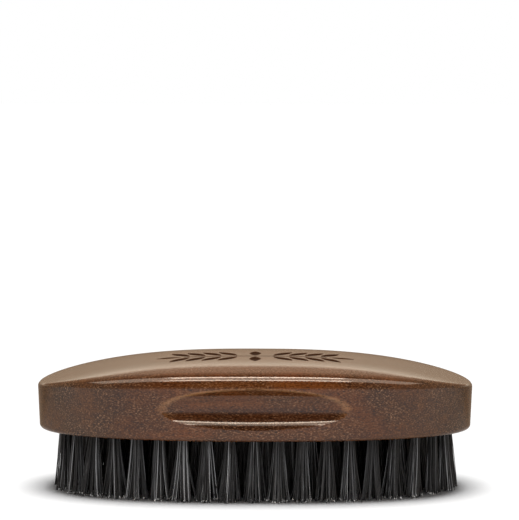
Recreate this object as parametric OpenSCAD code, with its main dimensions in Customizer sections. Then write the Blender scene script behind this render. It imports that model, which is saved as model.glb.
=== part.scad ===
// Palm-held beard brush: a domed oval wooden block with a finger groove in each long side.
// Tufts of boar bristle fill holes drilled in its underside. Each tuft is folded over a flat
// wire anchor, which is driven into the hole and bites into the wood on both sides.
// The brush stands on its bristle tips: the origin is under its middle, +X runs along its
// length and +Z points up through the crown. All sizes are in millimetres.

/* [Wooden block] */
// Length of the block
block_length = 109.2; // [106:0.2:114]
// Width of the block
block_width = 58.4; // [56:0.2:62]
// Height of the block at its crown
block_height = 17.6; // [17:0.1:20]
// Squareness of the oval outline, where 2 is a true ellipse
outline_power = 2.4; // [2.2:0.05:2.6]
// How far the crown's height falls away at the two ends
end_drop = 6.4; // [4:0.1:6.6]
// How sharply the crown falls away towards the ends
end_power = 2.6; // [2:0.1:3.5]
// How far the crown's height falls away at the two long sides
side_drop = 1.5; // [1:0.1:2]
// How sharply the crown falls away towards the long sides
side_power = 3.5; // [2.5:0.1:4]
// Rounding of the top rim in the middle of a long side
side_rounding = 4; // [3:0.1:4.5]
// Rounding of the top rim at the two ends
end_rounding = 1; // [0.8:0.1:3]
// How quickly the rim's rounding tightens between the middle and the ends
rounding_power = 6; // [2:0.5:8]
// Rounding of the bottom edge
bottom_rounding = 1; // [0.6:0.1:1.5]
// How far the wall leans in towards the bottom edge
wall_draft = 0.4; // [0:0.05:0.5]

/* [Finger grooves] */
// Depth of a groove at its middle
groove_depth = 3.1; // [2.4:0.05:3.2]
// Length of a groove, from end to end
groove_length = 46.5; // [38:0.5:50]
// Radius of a groove's section below its deepest line, at its middle
groove_radius_below = 4.95; // [4.6:0.05:5.2]
// Radius of a groove's section above its deepest line, at its middle
groove_radius_above = 6.5; // [6:0.1:6.8]
// Height of a groove's deepest line above the underside
groove_height = 7.3; // [7:0.1:7.6]

/* [Leaf engraving] */
// Depth of the engraving
engraving_depth = 0.3; // [0.2:0.05:0.4]
// Width of the stem that runs along the crown
stem_width = 0.9; // [0.6:0.1:1.2]
// Distance between neighbouring leaves along the stem
leaf_pitch = 4; // [3.8:0.1:4.4]
// Number of pairs of leaves that lean towards each end
leaf_pairs = 4; // [2:1:4]
// Length of a leaf beside the stem
leaf_length = 9.4; // [7:0.1:9.6]
// Length of the leaf at each end of the stem
end_leaf_length = 6.5; // [5:0.1:7.5]
// Width of a leaf
leaf_width = 2.9; // [2.2:0.1:3.1]
// Angle between a leaf and the stem
leaf_angle = 60; // [55:1:70]

/* [Bristles] */
// Length of the bristles below the block
bristle_length = 15.5; // [12:0.1:20]
// Half the length of the outer row of tufts, which follows the outline
outer_row_length = 48.2; // [48:0.1:48.4]
// Half the width of the outer row of tufts
outer_row_width = 22.8; // [22.6:0.1:23]
// Distance between neighbouring tufts in the outer row
outer_pitch = 5.84; // [5.7:0.02:6]
// Half the length of the field of straight rows inside the outer row
inner_field_length = 42.3; // [42:0.1:42.4]
// Half the width of the oval where the straight rows end
inner_field_width = 18.4; // [18:0.1:18.5]
// Distance between one straight row and the next
row_pitch = 5.6; // [5.5:0.05:5.65]
// Distance between neighbouring tufts in a straight row, before the rows are staggered
inner_pitch = 5.6; // [5.5:0.05:6]
// Radius of a tuft where it is packed in its hole
tuft_radius = 1.4; // [1.2:0.05:1.4]
// Radius of a tuft at its tips, where the bristles spread
tip_radius = 2.5; // [1.8:0.1:2.6]

/* [Tuft holes and anchors] */
// Radius of a tuft hole
hole_radius = 1.45; // [1.45:0.05:1.6]
// Depth of a tuft hole
hole_depth = 7.5; // [6:0.1:8]
// Thickness of the flat anchor wire
anchor_thickness = 0.3; // [0.2:0.05:0.4]
// Height of an anchor along its hole
anchor_height = 1.7; // [1.2:0.1:2]
// How far each end of an anchor bites into the wood
anchor_bite = 0.15; // [0.05:0.05:0.25]
// Thickness of the fold of bristle behind an anchor
fold_thickness = 0.6; // [0.4:0.1:1]

/* [Hidden] */
half_length = block_length / 2;
half_width = block_width / 2;
underside_z = bristle_length;
crown_z = underside_z + block_height;
groove_z = underside_z + groove_height;
row_power = 2.2;
outline_steps = 96;
rim_steps = 6;
bottom_steps = 3;
crown_rings = [0.9, 0.78, 0.64, 0.48, 0.3, 0.14];
row_samples = 720;
rows_each_side = 3;
groove_overrun = 1.3;
groove_section_steps = 180;
groove_path_steps = 720;
leaf_gap = 1.2;
stem_overlap = 0.6;
overcut = 1;
$fn = 48;

// Oval outlines: a superellipse point for an angle, and the inward normal there.
function power_of(v, p) = sign(v) * pow(abs(v), p);
function oval(angle, a, b, p) = [a * power_of(cos(angle), 2 / p), b * power_of(sin(angle), 2 / p)];
function inward(angle) = let (
    p = 2 - 2 / outline_power,
    n = [power_of(cos(angle), p) / half_length, power_of(sin(angle), p) / half_width]
) -n / norm(n);

// The crown: its height over a point of the plan, and its slope there in a given direction.
function crown(p) = crown_z
    - end_drop * pow(abs(p.x) / half_length, end_power)
    - side_drop * pow(abs(p.y) / half_width, side_power);
function crown_slope(p, way) =
    -end_drop * end_power * power_of(p.x / half_length, end_power - 1) / half_length * way.x
    - side_drop * side_power * power_of(p.y / half_width, side_power - 1) / half_width * way.y;

// The top rim: an arc that leaves the wall upright and meets the crown along its own slope.
function rim_radius(n) = end_rounding + (side_rounding - end_rounding) * pow(abs(n.y), rounding_power);
function rim_tilt(p, n, r, inset, tries) = let (tilt = atan(crown_slope(p + n * inset, n)))
    tries == 0 ? tilt : rim_tilt(p, n, r, r * (1 - sin(tilt)), tries - 1);
function rim_point(angle, step) = let (
    p = oval(angle, half_length, half_width, outline_power),
    n = inward(angle),
    r = rim_radius(n),
    tilt = rim_tilt(p, n, r, r / 2, 4),
    turn = (90 - tilt) * step / rim_steps,
    centre_z = crown(p + n * r * (1 - sin(tilt))) - r * cos(tilt),
    plan = p + n * r * (1 - cos(turn))
) [plan.x, plan.y, centre_z + r * sin(turn)];
function bottom_point(angle, step) = let (
    turn = 90 * step / bottom_steps,
    p = oval(angle, half_length, half_width, outline_power),
    plan = p + inward(angle) * (wall_draft + bottom_rounding * (1 - sin(turn)))
) [plan.x, plan.y, underside_z + bottom_rounding * (1 - cos(turn))];
function crown_point(angle, k) = let (
    rim = rim_point(angle, rim_steps),
    plan = [rim.x, rim.y] * k
) [plan.x, plan.y, crown(plan)];

// The outer row of tufts: evenly spaced round an oval, with one tuft at its middle front.
function row_at(i) = oval(360 * i / row_samples - 90, outer_row_length, outer_row_width, row_power);
function row_step(i) = norm(row_at(i + 1) - row_at(i));
row_table = [for (i = 0, run = 0; i <= row_samples; run = run + row_step(i), i = i + 1) [run, i]];
row_total = row_table[row_samples][0];
outer_tufts = 4 * round(row_total / outer_pitch / 4);
outer_row = [for (k = [0:outer_tufts - 1]) row_at(lookup(row_total * k / outer_tufts, row_table))];

// The straight rows: each is spread evenly between its ends on the inner oval. The middle row and every
// second row from it have a tuft on the middle line and the others have none there, so they are staggered.
function row_end(y) = let (rest = 1 - pow(abs(y) / inner_field_width, row_power))
    inner_field_length * pow(rest, 1 / row_power);
function staggered(gaps, odd) = 2 * floor((gaps - odd + 1) / 2) + odd;
function straight_row(y, odd) = let (
    end_x = row_end(y),
    gaps = staggered(2 * end_x / inner_pitch, odd)
) [for (k = [0:gaps]) [-end_x + 2 * end_x * k / gaps, y]];
inner_rows = [for (i = [-rows_each_side:rows_each_side]) straight_row(i * row_pitch, abs(i) % 2)];

function numbered(name, k) = str(name, k < 9 ? "0" : "", k + 1);

// The block before any cutting: rings of points from the bottom edge up the wall, over the rim
// and in to the crown.
module plain_block() {
    angles = [for (i = [0:outline_steps - 1]) 360 * i / outline_steps];
    rings = concat(
        [for (s = [0:bottom_steps]) [for (a = angles) bottom_point(a, s)]],
        [for (s = [0:rim_steps]) [for (a = angles) rim_point(a, s)]],
        [for (k = crown_rings) [for (a = angles) crown_point(a, k)]]
    );
    points = concat([for (ring = rings) each ring], [[0, 0, crown_z]]);
    last = (len(rings) - 1) * outline_steps;
    faces = concat(
        [[for (i = [0:outline_steps - 1]) i]],
        [for (r = [0:len(rings) - 2], i = [0:outline_steps - 1]) let (
            j = (i + 1) % outline_steps,
            low = r * outline_steps,
            high = low + outline_steps
        ) [low + j, low + i, high + i, high + j]],
        [for (i = [0:outline_steps - 1]) [last + (i + 1) % outline_steps, last + i, len(points) - 1]]
    );
    polyhedron(points, faces);
}

// A finger groove runs along a long shallow arc and narrows towards both ends, like a scoop. Its section
// is two arcs that meet at its deepest line, and the one below the line is the tighter.
module groove_cutter() {
    end_angle = acos(pow(groove_length / block_length, outline_power / 2));
    end_y = oval(end_angle, half_length, half_width, outline_power).y;
    floor_y = half_width - groove_depth;
    rise = end_y - floor_y;
    path_radius = (pow(groove_length / 2, 2) + rise * rise) / (2 * rise);
    translate([0, floor_y, groove_z]) {
        groove_scoop(path_radius, groove_radius_above, 0);
        groove_scoop(path_radius, groove_radius_below, -1);
    }
}

// The part of a groove on one side of its deepest line: shift is 0 above the line and -1 below it.
module groove_scoop(path_radius, radius, shift) {
    intersection() {
        translate([0, radius, 0])
            rotate([0, 90, 0])
                rotate_extrude($fn = groove_section_steps)
                    intersection() {
                        translate([radius - path_radius, 0])
                            circle(r = path_radius, $fn = groove_path_steps);
                        translate([0, -groove_length / 2 - groove_overrun])
                            square([radius + overcut, groove_length + 2 * groove_overrun]);
                    }
        translate([-block_length / 2, -overcut, shift * 2 * radius])
            cube([block_length, 2 * radius + overcut, 2 * radius]);
    }
}

// A pointed leaf between two arcs, with its stalk end at the origin.
module leaf(size) {
    arc_radius = (size * size + leaf_width * leaf_width) / (4 * leaf_width);
    translate([size / 2, 0])
        intersection_for(side = [-1, 1])
            translate([0, side * (arc_radius - leaf_width / 2)])
                circle(r = arc_radius);
}

module leaf_pair(angle) {
    square([leaf_pitch + stem_overlap, stem_width], center = true);
    for (side = [-1, 1])
        rotate(side * angle)
            translate([leaf_gap, 0])
                leaf(leaf_length);
}

// Sets a flat shape at one point of the stem and sinks it to the engraving's depth, along the
// slope of the crown there.
module engrave_at(x) {
    slope = atan(crown_slope([x, 0], [1, 0]));
    translate([x, 0, crown([x, 0])])
        rotate([0, -slope, 0])
            translate([0, 0, -engraving_depth])
                linear_extrude(engraving_depth + overcut)
                    children();
}

// A stem along the crown with leaves on both sides, which leans outwards both ways.
module engraving() {
    engrave_at(0)
        leaf_pair(90);
    for (way = [0, 1])
        mirror([way, 0, 0]) {
            for (k = [1:leaf_pairs])
                engrave_at(k * leaf_pitch)
                    leaf_pair(leaf_angle);
            engrave_at((leaf_pairs + 0.5) * leaf_pitch)
                leaf(end_leaf_length);
        }
}

module at_tufts(points) {
    for (p = points)
        translate([p.x, p.y, underside_z])
            children();
}

module anchor() {
    translate([0, 0, hole_depth - fold_thickness - anchor_height / 2])
        cube([2 * (hole_radius + anchor_bite), anchor_thickness, anchor_height], center = true);
}

module tuft() {
    difference() {
        union() {
            cylinder(r = tuft_radius, h = hole_depth);
            translate([0, 0, -bristle_length])
                cylinder(r1 = tip_radius, r2 = tuft_radius, h = bristle_length);
        }
        anchor();
    }
}

module wooden_block() {
    color("#4a2c1c")
        difference() {
            plain_block();
            groove_cutter();
            mirror([0, 1, 0])
                groove_cutter();
            engraving();
            for (row = concat([outer_row], inner_rows))
                at_tufts(row) {
                    translate([0, 0, -overcut])
                        cylinder(r = hole_radius, h = hole_depth + overcut);
                    anchor();
                }
        }
}

module tufts(points) {
    color("#1d1d1e")
        at_tufts(points)
            tuft();
}

module anchors(points) {
    color("#b9bcc0")
        at_tufts(points)
            anchor();
}

wooden_block();
for (k = [0:outer_tufts - 1])
    tufts([outer_row[k]]);
for (i = [0:len(inner_rows) - 1])
    tufts(inner_rows[i]);
anchors(outer_row);  // outer_row_anchors
for (i = [0:len(inner_rows) - 1])
    anchors(inner_rows[i]);
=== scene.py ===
"""Visual model of a palm-held beard brush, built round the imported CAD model.

Shapes are worked out in millimetres, in the CAD model's own frame, and scaled to metres when
they become meshes. The studio and the materials are in metres.
"""
import math

import bpy
import numpy as np
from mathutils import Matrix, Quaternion, Vector
from mathutils.geometry import delaunay_2d_cdt


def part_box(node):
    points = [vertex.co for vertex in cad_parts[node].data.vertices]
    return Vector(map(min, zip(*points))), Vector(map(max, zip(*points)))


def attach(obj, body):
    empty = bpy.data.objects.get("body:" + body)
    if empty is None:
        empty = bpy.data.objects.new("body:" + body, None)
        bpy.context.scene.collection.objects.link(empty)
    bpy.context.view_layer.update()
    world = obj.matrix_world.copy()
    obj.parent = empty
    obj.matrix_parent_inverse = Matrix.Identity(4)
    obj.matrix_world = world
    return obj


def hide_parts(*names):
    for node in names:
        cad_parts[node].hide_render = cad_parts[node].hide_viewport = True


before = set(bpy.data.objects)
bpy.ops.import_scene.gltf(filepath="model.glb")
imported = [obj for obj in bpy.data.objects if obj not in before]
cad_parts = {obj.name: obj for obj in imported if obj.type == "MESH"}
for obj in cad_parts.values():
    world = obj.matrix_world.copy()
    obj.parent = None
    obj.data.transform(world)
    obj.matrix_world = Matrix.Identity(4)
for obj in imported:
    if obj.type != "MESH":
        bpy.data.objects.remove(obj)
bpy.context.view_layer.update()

MM = 0.001
BODY = "root"


def box_mm(node):
    low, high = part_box(node)
    return np.array(low) / MM, np.array(high) / MM


# --------------------------------------------------------------------------- sizes
# They follow the CAD model's own, so that the visual block lies on the CAD one.
BLOCK_LOW, BLOCK_HIGH = box_mm("wooden_block")
HALF_LENGTH, HALF_WIDTH = BLOCK_HIGH[0], BLOCK_HIGH[1]
UNDERSIDE, CROWN = BLOCK_LOW[2], BLOCK_HIGH[2]

OUTLINE_POWER = 2.4
END_DROP, END_POWER = 6.4, 2.6
SIDE_DROP, SIDE_POWER = 1.5, 3.5
SIDE_ROUNDING, END_ROUNDING, BOTTOM_ROUNDING = 4.0, 1.0, 1.0
ROUNDING_POWER = 6.0
WALL_DRAFT = 0.4

GROOVE_DEPTH, GROOVE_LENGTH = 3.1, 46.5
GROOVE_RADIUS_BELOW, GROOVE_RADIUS_ABOVE = 4.95, 6.5
GROOVE_HEIGHT = 7.3
GROOVE_Z = UNDERSIDE + GROOVE_HEIGHT
GROOVE_LIP = 0.08
SMALLEST_SECTION = 0.01

STEM_LENGTH, STEM_WIDTH = 36.0, 0.9
LEAF_PITCH, LEAF_PAIRS, LEAF_ANGLE = 4.0, 4, 60.0
LEAF_LENGTH, END_LEAF_LENGTH, LEAF_WIDTH, LEAF_GAP = 9.4, 6.5, 2.9, 1.2
LEAF_BORDER = 0.34
BORDER_DEPTH, FILL_DEPTH = 0.12, 0.3

HOLE_RADIUS, HOLE_DEPTH = 1.45, 7.5

# --------------------------------------------------------------------------- fineness of the block's mesh
COLUMNS = 520
BOTTOM_STEPS, WALL_STEPS, RIM_STEPS = 6, 64, 20
CROWN_GRID = 1.3
CROWN_CLEARANCE = CROWN_GRID / 3
LEAF_STEPS, STEM_POINTS, HOLE_SIDES = 14, 37, 24
RUN_STEPS = 40          # steps between two columns when the length of the plan's edge is measured
RIM_PASSES = 6          # passes that settle where the rim's rounding meets the crown
MERGE_DISTANCE = 1e-6   # points closer than this count as one
KEEP_INSIDE = 1         # the triangulation's mode that keeps only what the outlines enclose


# --------------------------------------------------------------------------- the block's shape
def power_of(value, power):
    return np.sign(value) * np.abs(value) ** power


def plan_points(angle):
    """Points of the block's plan, a superellipse."""
    x = HALF_LENGTH * power_of(np.cos(angle), 2 / OUTLINE_POWER)
    y = HALF_WIDTH * power_of(np.sin(angle), 2 / OUTLINE_POWER)
    return np.stack([x, y], -1)


def inward(angle):
    """Unit normals of the block's plan, pointing in."""
    power = 2 - 2 / OUTLINE_POWER
    normal = np.stack(
        [power_of(np.cos(angle), power) / HALF_LENGTH, power_of(np.sin(angle), power) / HALF_WIDTH], -1
    )
    return -normal / np.linalg.norm(normal, axis=-1, keepdims=True)


def even_angles(count):
    """Angles whose points lie evenly spaced along the plan's edge."""
    fine = np.linspace(0, 2 * math.pi, RUN_STEPS * count + 1)
    steps = np.linalg.norm(np.diff(plan_points(fine), axis=0), axis=1)
    run = np.concatenate([[0], np.cumsum(steps)])
    return np.interp(run[-1] * np.arange(count) / count, run, fine)


def crown_z(plan):
    """Height of the domed top over points of the plan."""
    x, y = np.abs(plan[..., 0]) / HALF_LENGTH, np.abs(plan[..., 1]) / HALF_WIDTH
    return CROWN - END_DROP * x**END_POWER - SIDE_DROP * y**SIDE_POWER


def crown_gradient(plan):
    """Slopes of the domed top along X and along Y."""
    x, y = plan[..., 0] / HALF_LENGTH, plan[..., 1] / HALF_WIDTH
    along = -END_DROP * END_POWER * power_of(x, END_POWER - 1) / HALF_LENGTH
    across = -SIDE_DROP * SIDE_POWER * power_of(y, SIDE_POWER - 1) / HALF_WIDTH
    return np.stack([along, across], -1)


def groove_surface(points):
    """A finger groove's surface over points of the wall: how far it is from the middle plane, its
    outward normal, and whether the points are level with the groove at all."""
    x, y, z = points[..., 0], points[..., 1], points[..., 2]
    floor_y = HALF_WIDTH - GROOVE_DEPTH
    end_y = HALF_WIDTH * (1 - (GROOVE_LENGTH / 2 / HALF_LENGTH) ** OUTLINE_POWER) ** (1 / OUTLINE_POWER)
    rise = end_y - floor_y
    path_radius = ((GROOVE_LENGTH / 2) ** 2 + rise**2) / (2 * rise)
    widest = np.where(z < GROOVE_Z, GROOVE_RADIUS_BELOW, GROOVE_RADIUS_ABOVE)
    reach = np.sqrt(path_radius**2 - x**2)
    radius = widest - (path_radius - reach)
    section = radius**2 - (z - GROOVE_Z) ** 2
    root = np.sqrt(np.maximum(section, SMALLEST_SECTION))
    normal = np.stack([-radius * x / reach, np.sign(y) * root, GROOVE_Z - z], -1)
    normal /= np.linalg.norm(normal, axis=-1, keepdims=True)
    return floor_y + widest - root, normal, (section > 0) & (radius > 0)


def groove_depth(points):
    """How far points of the wall stand outside the surface that a finger groove leaves."""
    surface, _, level = groove_surface(points)
    return np.where(level, np.abs(points[..., 1]) - surface, -HALF_WIDTH)


def grooved(grid):
    """The wall's points moved in to the surface of the grooves, with slightly softened lips."""
    depth = groove_depth(grid)
    soft = (np.clip(depth, -GROOVE_LIP, GROOVE_LIP) + GROOVE_LIP) ** 2 / (4 * GROOVE_LIP)
    moved = grid.copy()
    moved[..., 1] -= np.sign(grid[..., 1]) * np.where(depth > GROOVE_LIP, depth, soft)
    return moved


def shell_grid(angles):
    """Rows of points round the block, from the bottom edge up the wall and over the rim."""
    plan, normal = plan_points(angles), inward(angles)
    radius = END_ROUNDING + (SIDE_ROUNDING - END_ROUNDING) * np.abs(normal[:, 1]) ** ROUNDING_POWER
    inset = radius / 2
    for _ in range(RIM_PASSES):
        slope = (crown_gradient(plan + normal * inset[:, None]) * normal).sum(-1)
        tilt = np.arctan(slope)
        inset = radius * (1 - np.sin(tilt))
    wall_top = crown_z(plan + normal * inset[:, None]) - radius * np.cos(tilt)
    wall_foot = UNDERSIDE + BOTTOM_ROUNDING

    rows = []
    for turn in np.linspace(0, math.pi / 2, BOTTOM_STEPS + 1):
        moved = plan + normal * (WALL_DRAFT + BOTTOM_ROUNDING * (1 - math.sin(turn)))
        height = np.full(len(angles), UNDERSIDE + BOTTOM_ROUNDING * (1 - math.cos(turn)))
        rows.append(np.column_stack([moved, height]))
    for share in np.linspace(0, 1, WALL_STEPS + 1)[1:]:
        moved = plan + normal * WALL_DRAFT * (1 - share)
        rows.append(np.column_stack([moved, wall_foot + (wall_top - wall_foot) * share]))
    for share in np.linspace(0, 1, RIM_STEPS + 1)[1:]:
        turn = (math.pi / 2 - tilt) * share
        moved = plan + normal * (radius * (1 - np.cos(turn)))[:, None]
        rows.append(np.column_stack([moved, wall_top + radius * np.sin(turn)]))
    return np.array(rows)


def grid_normals(grid):
    """Outward unit normals at the points of a grid whose rows close on themselves."""
    along = np.roll(grid, -1, axis=1) - np.roll(grid, 1, axis=1)
    up = np.gradient(grid, axis=0)
    normal = np.cross(along, up)
    return normal / np.linalg.norm(normal, axis=-1, keepdims=True)


# --------------------------------------------------------------------------- the engraving
def leaf_outline(length, width):
    """A pointed leaf between two arcs, from its stalk end at the origin along +X."""
    radius = (length**2 + width**2) / (4 * width)
    x = np.linspace(0, length, LEAF_STEPS + 1)
    half = np.sqrt(radius**2 - (x - length / 2) ** 2) - (radius - width / 2)
    half[0] = half[-1] = 0
    top = np.column_stack([x, half])
    low = np.column_stack([x, -half])[1:-1][::-1]
    return np.concatenate([top, low])


def placed(outline, angle, start, mirror):
    """An outline turned by an angle in degrees and moved to a start point, or its mirror image."""
    turn = math.radians(angle)
    rotation = np.array([[math.cos(turn), math.sin(turn)], [-math.sin(turn), math.cos(turn)]])
    moved = outline @ rotation + np.array(start)
    return moved * [-1, 1] if mirror else moved


def leaf_shapes():
    """The sprig's leaves as pairs of outlines: the whole leaf, and its fill inside a border."""
    inner_scale = LEAF_BORDER * LEAF_LENGTH / LEAF_WIDTH
    shapes = []

    def add_leaf(length, angle, start, mirror):
        whole = leaf_outline(length, LEAF_WIDTH)
        fill = leaf_outline(length - 2 * inner_scale, LEAF_WIDTH - 2 * LEAF_BORDER) + [inner_scale, 0]
        shapes.append((placed(whole, angle, start, mirror), placed(fill, angle, start, mirror)))

    def add_pair(x, angle, mirror):
        for side in (-1, 1):
            turn = math.radians(side * angle)
            start = (x + LEAF_GAP * math.cos(turn), LEAF_GAP * math.sin(turn))
            add_leaf(LEAF_LENGTH, side * angle, start, mirror)

    add_pair(0, 90, False)
    for mirror in (False, True):
        for k in range(1, LEAF_PAIRS + 1):
            add_pair(k * LEAF_PITCH, LEAF_ANGLE, mirror)
        add_leaf(END_LEAF_LENGTH, 0, (STEM_LENGTH / 2 + LEAF_GAP / 2, 0), mirror)
    return shapes


def stem_outline():
    """The sprig's stem, with points close enough together to follow the dome."""
    xs = np.linspace(-STEM_LENGTH / 2, STEM_LENGTH / 2, STEM_POINTS)
    ys = np.full(STEM_POINTS, STEM_WIDTH / 2)
    return np.concatenate([np.column_stack([xs, -ys]), np.column_stack([xs[::-1], ys])])


# --------------------------------------------------------------------------- patches with sunken shapes
def anticlockwise(outline):
    """The same outline with its points in anticlockwise order."""
    ahead = np.roll(outline, -1, axis=0)
    area = (outline[:, 0] * ahead[:, 1] - ahead[:, 0] * outline[:, 1]).sum()
    return outline if area > 0 else outline[::-1]


def triangulate(loop, outlines, extra):
    """Triangles of the area inside loop that keep every outline's edges and use the extra points.

    Returns the points, the triangles, the place in loop of each point that comes from it, and for
    each triangle the set of outlines that it lies in."""
    points, faces = [loop], [list(range(len(loop)))]
    count = len(loop)
    for outline in outlines:
        points.append(anticlockwise(outline))
        faces.append(list(range(count, count + len(outline))))
        count += len(outline)
    points.append(extra)
    coords = [Vector(p) for p in np.concatenate(points)]
    verts, _, tris, source, _, inside = delaunay_2d_cdt(
        coords, [], faces, KEEP_INSIDE, MERGE_DISTANCE, True
    )
    loop_index = {}
    for i, origin in enumerate(source):
        for k in origin:
            if k < len(loop):
                loop_index[i] = k
    within = [set(k - 1 for k in owners if k > 0) for owners in inside]
    return np.array([[v.x, v.y] for v in verts]), tris, loop_index, within


def sunken_patch(plan, tris, levels, depths, lift):
    """Vertices and faces of a patch whose triangles lie at stepped depths, with a wall at each step.

    lift(plan, depth) gives the points. Returns points, faces, each face's kind (its level, or
    -level for a wall down to that level), and the index of each surface vertex."""
    index, points = {}, []

    def corner(vertex, level):
        key = (vertex, level)
        if key not in index:
            index[key] = len(points)
            points.append(lift(plan[vertex], depths[level]))
        return index[key]

    faces, kinds, sides = [], [], {}
    for tri, level in zip(tris, levels):
        faces.append([corner(v, level) for v in tri])
        kinds.append(level)
        for a, b in zip(tri, list(tri[1:]) + [tri[0]]):
            sides.setdefault((min(a, b), max(a, b)), []).append((a, b, level))
    for users in sides.values():
        if len(users) == 2 and users[0][2] != users[1][2]:
            high, low = sorted(users, key=lambda u: u[2])
            a, b = high[0], high[1]
            faces.append([corner(b, high[2]), corner(a, high[2]), corner(a, low[2]), corner(b, low[2])])
            kinds.append(-low[2])
    surface = {v: i for (v, level), i in index.items() if level == 0}
    return np.array(points), faces, kinds, surface


def inside_outline(points, outline):
    """Which points lie inside a closed outline."""
    x, y = points[:, 0:1], points[:, 1:2]
    a, b = outline, np.roll(outline, -1, axis=0)
    crosses = (a[:, 1] > y) != (b[:, 1] > y)
    with np.errstate(divide="ignore", invalid="ignore"):
        at = a[:, 0] + (y - a[:, 1]) * (b[:, 0] - a[:, 0]) / (b[:, 1] - a[:, 1])
    return (crosses & (x < at)).sum(1) % 2 == 1


def filling(loop, outlines, spacing, clearance):
    """A staggered grid of points inside loop that keep clear of it and of the outlines."""
    low, high = loop.min(0), loop.max(0)
    xs = np.arange(low[0], high[0], spacing)
    ys = np.arange(low[1], high[1], spacing * math.sqrt(3) / 2)
    grid = np.array([[x + (spacing / 2) * (j % 2), y] for j, y in enumerate(ys) for x in xs])
    grid = grid[inside_outline(grid, loop)]
    edge = np.concatenate([loop] + outlines)
    near = [np.linalg.norm(edge - point, axis=1).min() for point in grid]
    return grid[np.array(near) > clearance]


def crown_patch(loop):
    """The domed top inside loop, with the sprig sunk into it."""
    outlines = [stem_outline()]
    for whole, fill in leaf_shapes():
        outlines += [whole, fill]
    extra = filling(loop, outlines, CROWN_GRID, CROWN_CLEARANCE)
    plan, tris, loop_index, within = triangulate(loop, outlines, extra)
    # Every even outline is the stem or a fill, which are the deepest.
    levels = [max((2 if k % 2 == 0 else 1 for k in owners), default=0) for owners in within]
    depths = [0, BORDER_DEPTH, FILL_DEPTH]
    points, faces, kinds, surface = sunken_patch(
        plan, tris, levels, depths, lambda p, depth: (p[0], p[1], float(crown_z(p)) - depth)
    )
    return points, faces, kinds, {surface[v]: k for v, k in loop_index.items()}


def underside_patch(loop, holes):
    """The flat underside inside loop, with a tuft hole round each of the points in holes."""
    turns = np.arange(HOLE_SIDES) * 2 * math.pi / HOLE_SIDES
    circle = HOLE_RADIUS * np.column_stack([np.cos(turns), np.sin(turns)])
    outlines = [circle + hole for hole in holes]
    plan, tris, loop_index, within = triangulate(loop, outlines, np.zeros((0, 2)))
    tris = [list(t)[::-1] for t in tris]
    levels = [1 if owners else 0 for owners in within]
    points, faces, kinds, surface = sunken_patch(
        plan, tris, levels, [0, HOLE_DEPTH], lambda p, depth: (p[0], p[1], UNDERSIDE + depth)
    )
    return points, faces, kinds, {surface[v]: k for v, k in loop_index.items()}


# --------------------------------------------------------------------------- the block as one mesh
# The block's materials by number, and which of them each kind of the crown's faces has.
WOOD, BORDER, FILL, BORE = range(4)
CROWN_SLOTS = {0: WOOD, 1: BORDER, -1: BORDER, 2: FILL, -2: BORDER}


def joined(points, faces, shared, start):
    """Renumbers a patch's faces so that vertices shared with the shell use the shell's own."""
    number, kept = {}, []
    for i in range(len(points)):
        if i in shared:
            number[i] = shared[i]
        else:
            number[i] = start + len(kept)
            kept.append(points[i])
    return np.array(kept), [[number[i] for i in face] for face in faces]


def crown_normals(points):
    """Unit normals of the domed top over points of the plan."""
    gradient = crown_gradient(points[:, :2])
    normals = np.column_stack([-gradient, np.ones(len(points))])
    return normals / np.linalg.norm(normals, axis=1, keepdims=True)


def face_normals(mesh):
    flat = np.empty(len(mesh.polygons) * 3, np.float32)
    mesh.polygons.foreach_get("normal", flat)
    return flat.reshape(-1, 3)


def build_block(holes):
    """The block's mesh. holes are the centres of the tuft holes."""
    plain = shell_grid(even_angles(COLUMNS))
    grid = grooved(plain)
    rows = len(grid)
    index = np.arange(rows * COLUMNS).reshape(rows, COLUMNS)
    right = np.roll(index, -1, axis=1)
    quads = np.stack([index[:-1], right[:-1], right[1:], index[1:]], -1).reshape(-1, 4)
    points, normals = grid.reshape(-1, 3), grid_normals(plain).reshape(-1, 3)
    groove_normals = groove_surface(plain)[1].reshape(-1, 3)
    faces, slots = quads.tolist(), [WOOD] * len(quads)
    smooth = [True] * len(quads)
    cut = (groove_depth(plain).reshape(-1)[quads].mean(1) > 0).tolist()

    patch, tris, kinds, shared = crown_patch(grid[-1, :, :2])
    top = (rows - 1) * COLUMNS
    shared = {i: top + k for i, k in shared.items()}
    patch, tris = joined(patch, tris, shared, len(points))
    points, normals = np.concatenate([points, patch]), np.concatenate([normals, crown_normals(patch)])
    faces += tris
    smooth += [kind == 0 for kind in kinds]
    slots += [CROWN_SLOTS[kind] for kind in kinds]

    # The underside's faces are flat, so its points need no normals of their own.
    patch, tris, kinds, shared = underside_patch(grid[0, :, :2], holes)
    patch, tris = joined(patch, tris, shared, len(points))
    points = np.concatenate([points, patch])
    faces += tris
    smooth += [False] * len(tris)
    slots += [WOOD if kind == 0 else BORE for kind in kinds]
    cut += [False] * (len(faces) - len(cut))

    mesh = bpy.data.meshes.new("block")
    mesh.from_pydata((points * MM).tolist(), [], faces)
    mesh.polygons.foreach_set("use_smooth", [True] * len(faces))
    mesh.polygons.foreach_set("material_index", slots)
    mesh.update()
    corner_normals = []
    for face, face_normal, is_smooth, is_cut in zip(faces, face_normals(mesh), smooth, cut):
        source = groove_normals if is_cut else normals
        corner_normals += [source[i] if is_smooth else face_normal for i in face]
    mesh.normals_split_custom_set(np.array(corner_normals).tolist())
    return mesh


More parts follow.
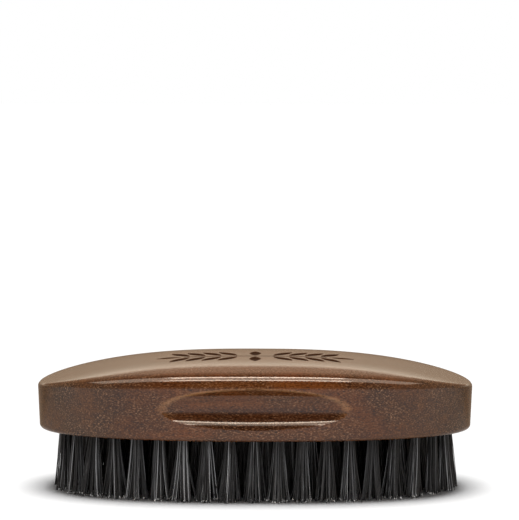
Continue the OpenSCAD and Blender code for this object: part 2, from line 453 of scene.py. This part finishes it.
# --------------------------------------------------------------------------- bristles
HAIR_SIDES = 4
HAIR_RADIUS = 0.125
HAIR_THICKNESS, TIP_TAPER = (0.7, 1.2), 0.7
HAIR_BOW, HAIR_WAVE = (1.0, 1.7), 0.11
ROOT_SPREAD = 1.25
FLARE, END_FLARE = (2.9, 3.5), (2.3, 2.9)
LEAN_SPREAD, END_LEAN = 0.2, 0.5
LOCKS, LOCK_SPREAD = 18, 0.14
STRAY_SHARE, STRAY_SPREAD, STRAY_REACH = 0.06, 1.4, 4.4
TIP_LEVEL, TIP_LEVEL_SPREAD = 0.02, 0.16
HAIR_START = 5.0
HAIR_STATIONS = np.array([-HAIR_START / UNDERSIDE, 0.0, 0.15, 0.34, 0.56, 0.8, 0.975, 1.0])
INNER_PITCH = 5.6
END_TUFT_X = 40.0
TONE_SHARES = (0.48, 0.22, 0.18, 0.12)
SHARED_TONE = 0.1
TIP_TONE = len(TONE_SHARES)
TIP_SHARE = 0.2
FIRST_SEED = 1000
OUTER_HAIRS, INNER_HAIRS = 75, 85
OUTER_PULL, INNER_PULL = (0.3, 0.92), (0.1, 0.5)


def disc(rng, count):
    """Evenly scattered points of the unit disc."""
    turn = rng.uniform(0, 2 * math.pi, count)
    return np.sqrt(rng.uniform(0, 1, count))[:, None] * np.column_stack([np.cos(turn), np.sin(turn)])


def tuft_paths(rng, centre, count, pull_range):
    """Centre lines of one tuft's bristles, from inside the hole to the tips, and each one's tone."""
    at_end = abs(centre[0]) > END_TUFT_X
    flare = rng.uniform(*(END_FLARE if at_end else FLARE))
    lean = rng.normal(0, LEAN_SPREAD, 2)
    if at_end:
        lean[0] += END_LEAN * np.sign(centre[0])
    root = disc(rng, count) * ROOT_SPREAD
    even = root * flare / ROOT_SPREAD
    locks = disc(rng, LOCKS) * flare
    nearest = ((even[:, None] - locks[None]) ** 2).sum(-1).argmin(1)
    pull = rng.uniform(*pull_range, count)[:, None]
    tip = even * (1 - pull) + locks[nearest] * pull + rng.normal(0, LOCK_SPREAD, (count, 2)) + lean
    stray = rng.uniform(0, 1, count) < (0 if at_end else STRAY_SHARE)
    tip[stray] += rng.normal(0, STRAY_SPREAD, (stray.sum(), 2))
    reach = np.linalg.norm(tip, axis=1, keepdims=True)
    tip *= STRAY_REACH / np.maximum(reach, STRAY_REACH)
    bow = rng.uniform(*HAIR_BOW, count)
    wave = rng.normal(0, HAIR_WAVE, (count, 2))
    tip_z = np.abs(rng.normal(0, TIP_LEVEL_SPREAD, count)) + TIP_LEVEL
    paths = np.empty((count, len(HAIR_STATIONS), 3))
    for k, station in enumerate(HAIR_STATIONS):
        s = max(station, 0.0)
        spread = (s**bow)[:, None]
        paths[:, k, :2] = centre + root * (1 - spread) + tip * spread + wave * math.sin(math.pi * s)
        paths[:, k, 2] = UNDERSIDE - station * (UNDERSIDE - tip_z)
    shared = rng.choice(len(TONE_SHARES), LOCKS, p=TONE_SHARES)[nearest]
    own = rng.choice(len(TONE_SHARES), count, p=TONE_SHARES)
    return paths, np.where(rng.uniform(0, 1, count) < SHARED_TONE, shared, own)


def tube_quads(stations):
    """Faces of one closed tube: its sides from the root up, then its root cap and its tip cap."""
    quads = []
    for k in range(stations - 1):
        low, high = k * HAIR_SIDES, (k + 1) * HAIR_SIDES
        for j in range(HAIR_SIDES):
            step = (j + 1) % HAIR_SIDES
            quads.append([low + step, low + j, high + j, high + step])
    quads.append(list(range(HAIR_SIDES)))
    quads.append([stations * HAIR_SIDES - 1 - j for j in range(HAIR_SIDES)])
    return np.array(quads)


def tuft_mesh(name, rng, centres, count, pull_range):
    """One mesh of thin closed tubes for all the bristles of the tufts at these centres."""
    tufts = [tuft_paths(rng, centre, count, pull_range) for centre in centres]
    paths = np.concatenate([tuft[0] for tuft in tufts])
    tone = np.concatenate([tuft[1] for tuft in tufts])
    hairs, stations = paths.shape[:2]
    turn = rng.uniform(0, math.pi, hairs)[:, None] + np.arange(HAIR_SIDES) * 2 * math.pi / HAIR_SIDES
    ring = np.stack([np.cos(turn), np.sin(turn), np.zeros_like(turn)], -1)
    taper = np.interp(HAIR_STATIONS, [0, 1], [1.0, TIP_TAPER])
    thick = HAIR_RADIUS * rng.uniform(*HAIR_THICKNESS, hairs)
    points = paths[:, :, None, :] + ring[:, None] * (thick[:, None] * taper[None])[..., None, None]
    quads = tube_quads(stations)
    first = np.arange(hairs)[:, None, None] * stations * HAIR_SIDES
    faces = (first + quads[None]).reshape(-1, HAIR_SIDES)
    mesh = bpy.data.meshes.new(name)
    mesh.from_pydata((points.reshape(-1, 3) * MM).tolist(), [], faces.tolist())
    mesh.polygons.foreach_set("use_smooth", [True] * len(faces))
    tones = np.repeat(tone[:, None], len(quads), axis=1)
    light = rng.uniform(0, 1, hairs) < TIP_SHARE
    sides = len(quads) - 2
    tips = list(range(sides - HAIR_SIDES, sides)) + [len(quads) - 1]
    tones[np.ix_(light, tips)] = TIP_TONE
    mesh.polygons.foreach_set("material_index", tones.ravel())
    mesh.update()
    return mesh


def tuft_centres(node, parity=0):
    """Centres of a node's tufts, evenly spaced along its box with an even or odd number of gaps."""
    low, high = box_mm(node)
    radius = (high[1] - low[1]) / 2
    y = (low[1] + high[1]) / 2
    first, last = low[0] + radius, high[0] - radius
    if last - first < INNER_PITCH / 2:
        return np.array([[(first + last) / 2, y]])
    gaps = 2 * math.floor(((last - first) / INNER_PITCH - parity + 1) / 2) + parity
    return np.column_stack([np.linspace(first, last, gaps + 1), np.full(gaps + 1, y)])


# --------------------------------------------------------------------------- materials
def new_material(name):
    """A new material, its node tree and its surface shader."""
    material = bpy.data.materials.new(name)
    material.use_nodes = True
    tree = material.node_tree
    return material, tree, tree.nodes["Principled BSDF"]


def add(tree, kind, **settings):
    """A new node of a kind, with its inputs or its own properties set by name."""
    node = tree.nodes.new(kind)
    for key, value in settings.items():
        if key in node.inputs:
            node.inputs[key].default_value = value
        else:
            setattr(node, key, value)
    return node


def stretched(tree, scale):
    """Object coordinates with their own scale along each axis."""
    coords = add(tree, "ShaderNodeTexCoord")
    mapping = add(tree, "ShaderNodeMapping")
    mapping.inputs["Scale"].default_value = scale
    tree.links.new(coords.outputs["Object"], mapping.inputs["Vector"])
    return mapping.outputs["Vector"]


def noise(tree, scale, detail=4.0, roughness=0.55, distortion=0.0):
    """A noise pattern with its own scale along each axis."""
    node = add(tree, "ShaderNodeTexNoise", Scale=1.0, Detail=detail, Roughness=roughness,
               Distortion=distortion)
    tree.links.new(stretched(tree, scale), node.inputs["Vector"])
    return node.outputs["Fac"]


def ramp(tree, value, *stops):
    """A value turned into a colour by stops, which are pairs of a place and a colour."""
    node = add(tree, "ShaderNodeValToRGB")
    elements = node.color_ramp.elements
    while len(elements) < len(stops):
        elements.new(0.5)
    for element, (place, colour) in zip(elements, stops):
        element.position = place
        element.color = (*colour, 1)
    tree.links.new(value, node.inputs["Fac"])
    return node.outputs["Color"]


def grey_ramp(tree, value, *stops):
    """A value turned into a grey level by stops, which are pairs of a place and a level."""
    return ramp(tree, value, *[(place, (level,) * 3) for place, level in stops])


def position(tree, space="Object"):
    """Sockets for where a point is along X, Y and Z, in one of the coordinates that Blender gives."""
    coords = add(tree, "ShaderNodeTexCoord")
    split = add(tree, "ShaderNodeSeparateXYZ")
    tree.links.new(coords.outputs[space], split.inputs[0])
    return split.outputs


def size_of(tree, value):
    """A value without its sign."""
    node = add(tree, "ShaderNodeMath", operation="ABSOLUTE")
    tree.links.new(value, node.inputs[0])
    return node.outputs[0]


def share_between(tree, value, low, high):
    """0 where a value is at or below low, 1 where it is at or above high."""
    node = add(tree, "ShaderNodeMapRange")
    node.inputs["From Min"].default_value = low
    node.inputs["From Max"].default_value = high
    tree.links.new(value, node.inputs["Value"])
    return node.outputs["Result"]


def mix(tree, share, a, b, blend="MIX"):
    """Two colours mixed. The share and the colours are sockets or constants."""
    node = add(tree, "ShaderNodeMix", data_type="RGBA", blend_type=blend)
    colours = [s for s in node.inputs if s.type == "RGBA"]
    for socket, value in ((node.inputs[0], share), (colours[0], a), (colours[1], b)):
        if isinstance(value, bpy.types.NodeSocket):
            tree.links.new(value, socket)
        else:
            socket.default_value = (*value, 1) if isinstance(value, tuple) else value
    return next(s for s in node.outputs if s.type == "RGBA")


def bump(tree, shader, height, distance, strength=1.0):
    """Raises and lowers a shader's surface, and returns the socket of its normal."""
    node = add(tree, "ShaderNodeBump", Strength=strength, Distance=distance)
    tree.links.new(height, node.inputs["Height"])
    tree.links.new(node.outputs["Normal"], shader.inputs["Normal"])
    return node.outputs["Normal"]


def stained_wood():
    """Dark stained hardwood under a glossy coat. Painted shade makes it darker and less red away from the
    middle and darker in the grooves' lower halves, a painted light band makes it paler and redder along
    the grooves' upper lips, and fine pores break it up."""
    material, tree, shader = new_material("stained_wood")
    grain = noise(tree, (22, 700, 700), detail=6, roughness=0.6, distortion=0.4)
    flecks = noise(tree, (1800, 3800, 3800), detail=2, roughness=0.6)
    blotch = noise(tree, (90, 150, 150), detail=3)
    stain = ramp(tree, grain, (0.3, (0.072, 0.018, 0.0025)), (0.5, (0.108, 0.03, 0.004)),
                 (0.72, (0.15, 0.045, 0.007)))
    tint = ramp(tree, blotch, (0.35, (0.5, 0.6, 0.9)), (0.65, (1.0, 0.97, 0.9)))
    colour = mix(tree, 0.8, stain, tint, "MULTIPLY")
    # Painted shade: the wood is darker and less red away from the middle of its length, standing in for
    # the weaker light on the ends.
    painted_end_shade = ramp(tree, size_of(tree, position(tree)["X"]), (0.02, (1, 1, 1)),
                  (0.028, (0.72, 0.74, 0.8)), (0.036, (0.66, 0.76, 0.9)), (0.048, (0.72, 0.95, 1.25)))
    colour = mix(tree, 1.0, colour, painted_end_shade, "MULTIPLY")
    # Painted shade: the lower halves of the grooves are painted darker, standing in for the shade inside
    # them.
    painted_groove_shade = add(tree, "ShaderNodeAttribute", attribute_name="painted_groove_shade").outputs["Fac"]
    groove_shade_tint = ramp(tree, painted_groove_shade, (0.0, (1, 1, 1)), (1.0, (0.5, 0.5, 0.7)))
    colour = mix(tree, 1.0, colour, groove_shade_tint, "MULTIPLY")
    # Painted light: a lighter, redder band is painted along the grooves' upper lips, standing in for the
    # light line there.
    painted_lip_light = add(tree, "ShaderNodeAttribute", attribute_name="painted_lip_light").outputs["Fac"]
    lip_light_reds = ramp(tree, grain, (0.3, (0.2, 0.09, 0.035)), (0.7, (0.34, 0.17, 0.07)))
    colour = mix(tree, painted_lip_light, colour, lip_light_reds)
    dark_pores = grey_ramp(tree, flecks, (0.3, 0.2), (0.5, 1))
    colour = mix(tree, 1.0, colour, dark_pores, "MULTIPLY")
    light_specks = grey_ramp(tree, flecks, (0.54, 0), (0.74, 1))
    patchy = grey_ramp(tree, blotch, (0.4, 1), (0.6, 0.4))
    light_specks = mix(tree, 1.0, light_specks, patchy, "MULTIPLY")
    colour = mix(tree, light_specks, colour, (0.27, 0.15, 0.085))
    tree.links.new(colour, shader.inputs["Base Color"])
    rough = grey_ramp(tree, flecks, (0.3, 0.45), (0.7, 0.35))
    tree.links.new(rough, shader.inputs["Roughness"])
    shader.inputs["Specular IOR Level"].default_value = 0.05
    shader.inputs["Coat Weight"].default_value = 1.0
    shader.inputs["Coat Roughness"].default_value = 0.07
    shader.inputs["Coat IOR"].default_value = 1.46
    pores = bump(tree, shader, flecks, 0.000014, 0.5)
    tree.links.new(pores, shader.inputs["Coat Normal"])
    return material


def engraved_border():
    """Bare, slightly burnt wood round each leaf's fill and on the walls of the engraving."""
    material, tree, shader = new_material("engraved_border")
    grain = noise(tree, (60, 1500, 1500))
    colour = ramp(tree, grain, (0.3, (0.05, 0.022, 0.01)), (0.7, (0.11, 0.05, 0.022)))
    tree.links.new(colour, shader.inputs["Base Color"])
    shader.inputs["Roughness"].default_value = 0.85
    shader.inputs["Specular IOR Level"].default_value = 0.1
    bump(tree, shader, grain, 0.00004)
    return material


def engraved_fill():
    """Darkly burnt wood with the engraver's fine diagonal lines."""
    material, tree, shader = new_material("engraved_fill")
    lines = add(tree, "ShaderNodeTexWave", Scale=1.0, Distortion=0.6, Detail=1.0)
    lines.bands_direction = "DIAGONAL"
    tree.links.new(stretched(tree, (620, 620, 0)), lines.inputs["Vector"])
    colour = ramp(tree, lines.outputs["Fac"], (0.25, (0.018, 0.008, 0.005)), (0.75, (0.055, 0.024, 0.011)))
    tree.links.new(colour, shader.inputs["Base Color"])
    shader.inputs["Roughness"].default_value = 0.85
    shader.inputs["Specular IOR Level"].default_value = 0.1
    bump(tree, shader, lines.outputs["Fac"], 0.00006)
    return material


def drilled_bore():
    material, tree, shader = new_material("drilled_bore")
    grain = noise(tree, (300, 300, 1200))
    colour = ramp(tree, grain, (0.3, (0.05, 0.025, 0.014)), (0.7, (0.11, 0.06, 0.035)))
    tree.links.new(colour, shader.inputs["Base Color"])
    shader.inputs["Roughness"].default_value = 0.8
    return material


def bristle(tone, colour, roughness):
    """One tone of bristle, with fine scales along it."""
    material, tree, shader = new_material(f"bristle_{tone}")
    shader.inputs["Base Color"].default_value = (*colour, 1)
    scales = noise(tree, (2500, 2500, 900), detail=2)
    gloss = grey_ramp(tree, scales, (0.3, roughness - 0.08), (0.7, roughness + 0.1))
    tree.links.new(gloss, shader.inputs["Roughness"])
    bump(tree, shader, scales, 0.00001, 0.4)
    return material


def anchor_wire():
    material, tree, shader = new_material("anchor_wire")
    shader.inputs["Metallic"].default_value = 1.0
    shader.inputs["Base Color"].default_value = (0.55, 0.55, 0.56, 1)
    drawn = noise(tree, (200, 4000, 4000))
    gloss = grey_ramp(tree, drawn, (0.3, 0.25), (0.7, 0.45))
    tree.links.new(gloss, shader.inputs["Roughness"])
    return material


# --------------------------------------------------------------------------- pieces
# Where light is painted along the grooves' upper lips, and where shade is painted in their lower halves.
LIP_LIGHT_DEPTH, LIP_LIGHT_REACH, LIP_LIGHT_HEIGHTS = 0.1, 0.55, (-3.0, 4.0)
GROOVE_SHADE_DEPTHS, GROOVE_SHADE_HEIGHTS = (0.0, 0.4), (-0.6, 1.6)


def piece(name, mesh, materials, node):
    """An object that rides on the body and stands in for one CAD node."""
    obj = bpy.data.objects.new(name, mesh)
    bpy.context.scene.collection.objects.link(obj)
    for material in materials:
        mesh.materials.append(material)
    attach(obj, BODY)
    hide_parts(node)
    return obj


def smooth_step(value, low, high):
    """0 up to low, 1 from high on, with a smooth rise between them."""
    share = np.clip((value - low) / (high - low), 0, 1)
    return share * share * (3 - 2 * share)


def mark_painted_light(mesh):
    """Stores where light is painted along the upper lips of the grooves, and where shade is painted
    in their lower halves. Depths are below the wall, heights above the groove's middle."""
    grid = shell_grid(even_angles(COLUMNS))
    depth, height = groove_depth(grid), grid[..., 2] - GROOVE_Z
    lip = 1 - smooth_step(np.abs(depth - LIP_LIGHT_DEPTH), 0.0, LIP_LIGHT_REACH)
    marks = {
        # Painted light: a lighter band along the grooves' upper lips.
        "painted_lip_light": lip * smooth_step(height, *LIP_LIGHT_HEIGHTS),
        # Painted shade: the grooves' lower halves, painted darker.
        "painted_groove_shade": smooth_step(depth, *GROOVE_SHADE_DEPTHS) * (1 - smooth_step(height, *GROOVE_SHADE_HEIGHTS)),
    }
    for name, share in marks.items():
        values = np.zeros(len(mesh.vertices), np.float32)
        values[:share.size] = share.ravel()
        layer = mesh.attributes.new(name, "FLOAT", "POINT")
        layer.data.foreach_set("value", values)


def build_pieces():
    """Builds the block and the tufts. Returns the block, the outer tufts and the inner ones."""
    nodes = sorted(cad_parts)
    outer = [n for n in nodes if n.startswith("outer_tuft_")]
    inner = [n for n in nodes if n.startswith("inner_tuft_row_")]
    centres = {n: tuft_centres(n) for n in outer}
    for number, node in enumerate(inner):
        centres[node] = tuft_centres(node, abs(number - len(inner) // 2) % 2)
    holes = np.concatenate(list(centres.values()))

    mesh = build_block(holes)
    mark_painted_light(mesh)
    woods = [stained_wood(), engraved_border(), engraved_fill(), drilled_bore()]
    block = piece("walnut_block", mesh, woods, "wooden_block")

    tones = [
        bristle("black", (0.004, 0.004, 0.0044), 0.45),
        bristle("dark", (0.014, 0.014, 0.0145), 0.42),
        bristle("grey", (0.045, 0.045, 0.047), 0.38),
        bristle("pale", (0.19, 0.19, 0.195), 0.38),
        bristle("tip", (0.85, 0.83, 0.8), 0.5),
    ]
    tufts = []
    for number, node in enumerate(outer + inner):
        rng = np.random.default_rng(FIRST_SEED + number)
        count, pull = (OUTER_HAIRS, OUTER_PULL) if node in outer else (INNER_HAIRS, INNER_PULL)
        name = node.replace("tuft", "bristles")
        mesh = tuft_mesh(name, rng, centres[node], count, pull)
        tufts.append(piece(name, mesh, tones, node))

    wire = anchor_wire()
    for node in nodes:
        if "anchor" in node:
            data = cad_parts[node].data
            data.materials.clear()
            data.materials.append(wire)
    return block, tufts[:len(outer)], tufts[len(outer):]


# --------------------------------------------------------------------------- studio
VIEW_ELEVATION, VIEW_AZIMUTH, VIEW_ROLL = 8.0, 0.3, 0.1
VIEW_DISTANCE = 0.6
VIEW_HEIGHT = 17.5 * MM
AIM_UP, AIM_RIGHT = 3.80, 0.10
LENS, SENSOR = 164.1, 36.0

PANEL_DISTANCE, PANEL_AIM = 1.2, (0, 0, 20 * MM)
FLOOR_REACH = 12.0
WARM = (1.0, 0.82, 0.66)


def build_camera():
    """A long lens in front of the brush, aimed above it so that the brush is low in the frame."""
    data = bpy.data.cameras.new("camera")
    data.lens = LENS
    data.sensor_width = SENSOR
    data.clip_start, data.clip_end = 0.01, 50.0
    camera = bpy.data.objects.new("camera", data)
    bpy.context.scene.collection.objects.link(camera)
    bpy.context.scene.camera = camera
    target = Vector((0, 0, VIEW_HEIGHT))
    azimuth, elevation = math.radians(VIEW_AZIMUTH), math.radians(VIEW_ELEVATION)
    back = Vector((math.sin(azimuth) * math.cos(elevation), -math.cos(azimuth) * math.cos(elevation),
                   math.sin(elevation)))
    camera.location = target + back * VIEW_DISTANCE
    look = (-back).to_track_quat("-Z", "Y")
    up = Quaternion((1, 0, 0), math.radians(AIM_UP))
    right = Quaternion((0, 1, 0), math.radians(-AIM_RIGHT))
    roll = Quaternion((0, 0, 1), math.radians(VIEW_ROLL))
    camera.rotation_mode = "QUATERNION"
    camera.rotation_quaternion = look @ up @ right @ roll


def light_only(light, objects):
    """Makes a light fall on the listed objects alone."""
    lit = bpy.data.collections.new(light.name + "_lit")
    for obj in objects:
        lit.objects.link(obj)
    light.light_linking.receiver_collection = lit


def panel(name, low, high, width, radiance, only, colour=(1, 1, 1), glossy=True, diffuse=True):
    """A rectangular softbox in front of the brush that spans two elevations in degrees, past 90
    behind it, and that falls on the listed objects."""
    height = 2 * PANEL_DISTANCE * math.tan(math.radians(high - low) / 2)
    middle = math.radians((low + high) / 2)
    place = Vector((0, -PANEL_DISTANCE * math.cos(middle), PANEL_DISTANCE * math.sin(middle)))
    data = bpy.data.lights.new(name, "AREA")
    data.shape = "RECTANGLE"
    data.size, data.size_y = width, height
    data.energy = radiance * math.pi * width * height
    data.color = colour
    light = bpy.data.objects.new(name, data)
    bpy.context.scene.collection.objects.link(light)
    light.location = place
    light.rotation_mode = "QUATERNION"
    light.rotation_quaternion = (Vector(PANEL_AIM) - place).to_track_quat("-Z", "Y")
    light.visible_glossy = glossy
    light.visible_diffuse = diffuse
    light.visible_camera = False
    light_only(light, only)


def build_world():
    """White for the camera, dimmer as fill light, and warm walls round the brush in reflections."""
    world = bpy.data.worlds.new("studio")
    bpy.context.scene.world = world
    world.use_nodes = True
    tree = world.node_tree
    tree.nodes.clear()
    path = add(tree, "ShaderNodeLightPath")
    direction = position(tree, "Generated")
    wall = ramp(tree, direction["Z"], (0.0, (0.3, 0.21, 0.14)), (0.12, (0.5, 0.37, 0.26)),
                (0.19, (0.9, 0.74, 0.56)), (0.225, (1.7, 1.4, 1.1)), (0.232, (0.45, 0.29, 0.19)),
                (0.4, (0.6, 0.38, 0.25)), (0.75, (0.9, 0.55, 0.35)), (0.9, (0.9, 0.55, 0.35)),
                (0.95, (0.1, 0.06, 0.04)))
    sides = ramp(tree, direction["Z"], (0.0, (0.6, 0.5, 0.42)), (0.7, (0.5, 0.4, 0.32)),
                 (0.95, (0.2, 0.15, 0.1)))
    ahead = ramp(tree, direction["Z"], (0.0, (0.8, 0.75, 0.7)), (0.12, (0.45, 0.38, 0.32)),
                 (0.32, (0.04, 0.028, 0.02)))
    beside = share_between(tree, size_of(tree, direction["X"]), 0.3, 0.7)
    front = mix(tree, beside, ahead, sides)
    behind = share_between(tree, direction["Y"], 0.0, 0.4)
    seen = mix(tree, behind, front, wall)
    white = mix(tree, path.outputs["Is Camera Ray"], (0.15, 0.15, 0.15), (1, 1, 1))
    colour = mix(tree, path.outputs["Is Glossy Ray"], white, seen)
    background = add(tree, "ShaderNodeBackground")
    tree.links.new(colour, background.inputs["Color"])
    out = add(tree, "ShaderNodeOutputWorld")
    tree.links.new(background.outputs[0], out.inputs["Surface"])


def build_floor():
    """A pale floor, darker in reflections, and darkest behind the brush."""
    mesh = bpy.data.meshes.new("floor")
    corners = [(-FLOOR_REACH, -FLOOR_REACH, 0), (FLOOR_REACH, -FLOOR_REACH, 0),
               (FLOOR_REACH, FLOOR_REACH, 0), (-FLOOR_REACH, FLOOR_REACH, 0)]
    mesh.from_pydata(corners, [], [(0, 1, 2, 3)])
    material, tree, shader = new_material("pale_floor")
    path = add(tree, "ShaderNodeLightPath")
    behind = share_between(tree, position(tree)["Y"], -0.06, 0.08)
    mirrored = mix(tree, behind, (0.85, 0.82, 0.8), (0.24, 0.17, 0.12))
    colour = mix(tree, path.outputs["Is Glossy Ray"], (0.9, 0.9, 0.9), mirrored)
    tree.links.new(colour, shader.inputs["Base Color"])
    shader.inputs["Roughness"].default_value = 0.9
    shader.inputs["Specular IOR Level"].default_value = 0.0
    mesh.materials.append(material)
    ground = bpy.data.objects.new("floor", mesh)
    bpy.context.scene.collection.objects.link(ground)
    return ground


def sunlight(name, direction, spread, strength, only):
    """Light from far away, spread over a wide angle, that falls on the listed objects."""
    data = bpy.data.lights.new(name, "SUN")
    data.energy = strength
    data.angle = math.radians(spread)
    light = bpy.data.objects.new(name, data)
    bpy.context.scene.collection.objects.link(light)
    light.rotation_mode = "QUATERNION"
    light.rotation_quaternion = Vector(direction).to_track_quat("-Z", "Y")
    light_only(light, only)


def build_studio(block, outer, inner):
    """Softboxes that the lacquer reflects, and a soft overhead light for the shadow on the floor."""
    build_world()
    ground = build_floor()
    brush = [block] + outer + inner
    panel("key_body", 60, 90, 2.2, 4.0, brush, WARM, diffuse=False)
    panel("key_high", 82, 89, 0.6, 18, brush, WARM)
    panel("key_low", 59, 66, 0.82, 13, brush, WARM)
    panel("wood_fill", 15, 50, 0.6, 4.0, [block], WARM, glossy=False)
    panel("front_fill", 20, 55, 1.6, 5.0, outer)
    sunlight("overhead", (0, 0.03, -1), 30, 3.3, [ground])
    bpy.context.scene.view_settings.view_transform = "Standard"


build_camera()
build_studio(*build_pieces())
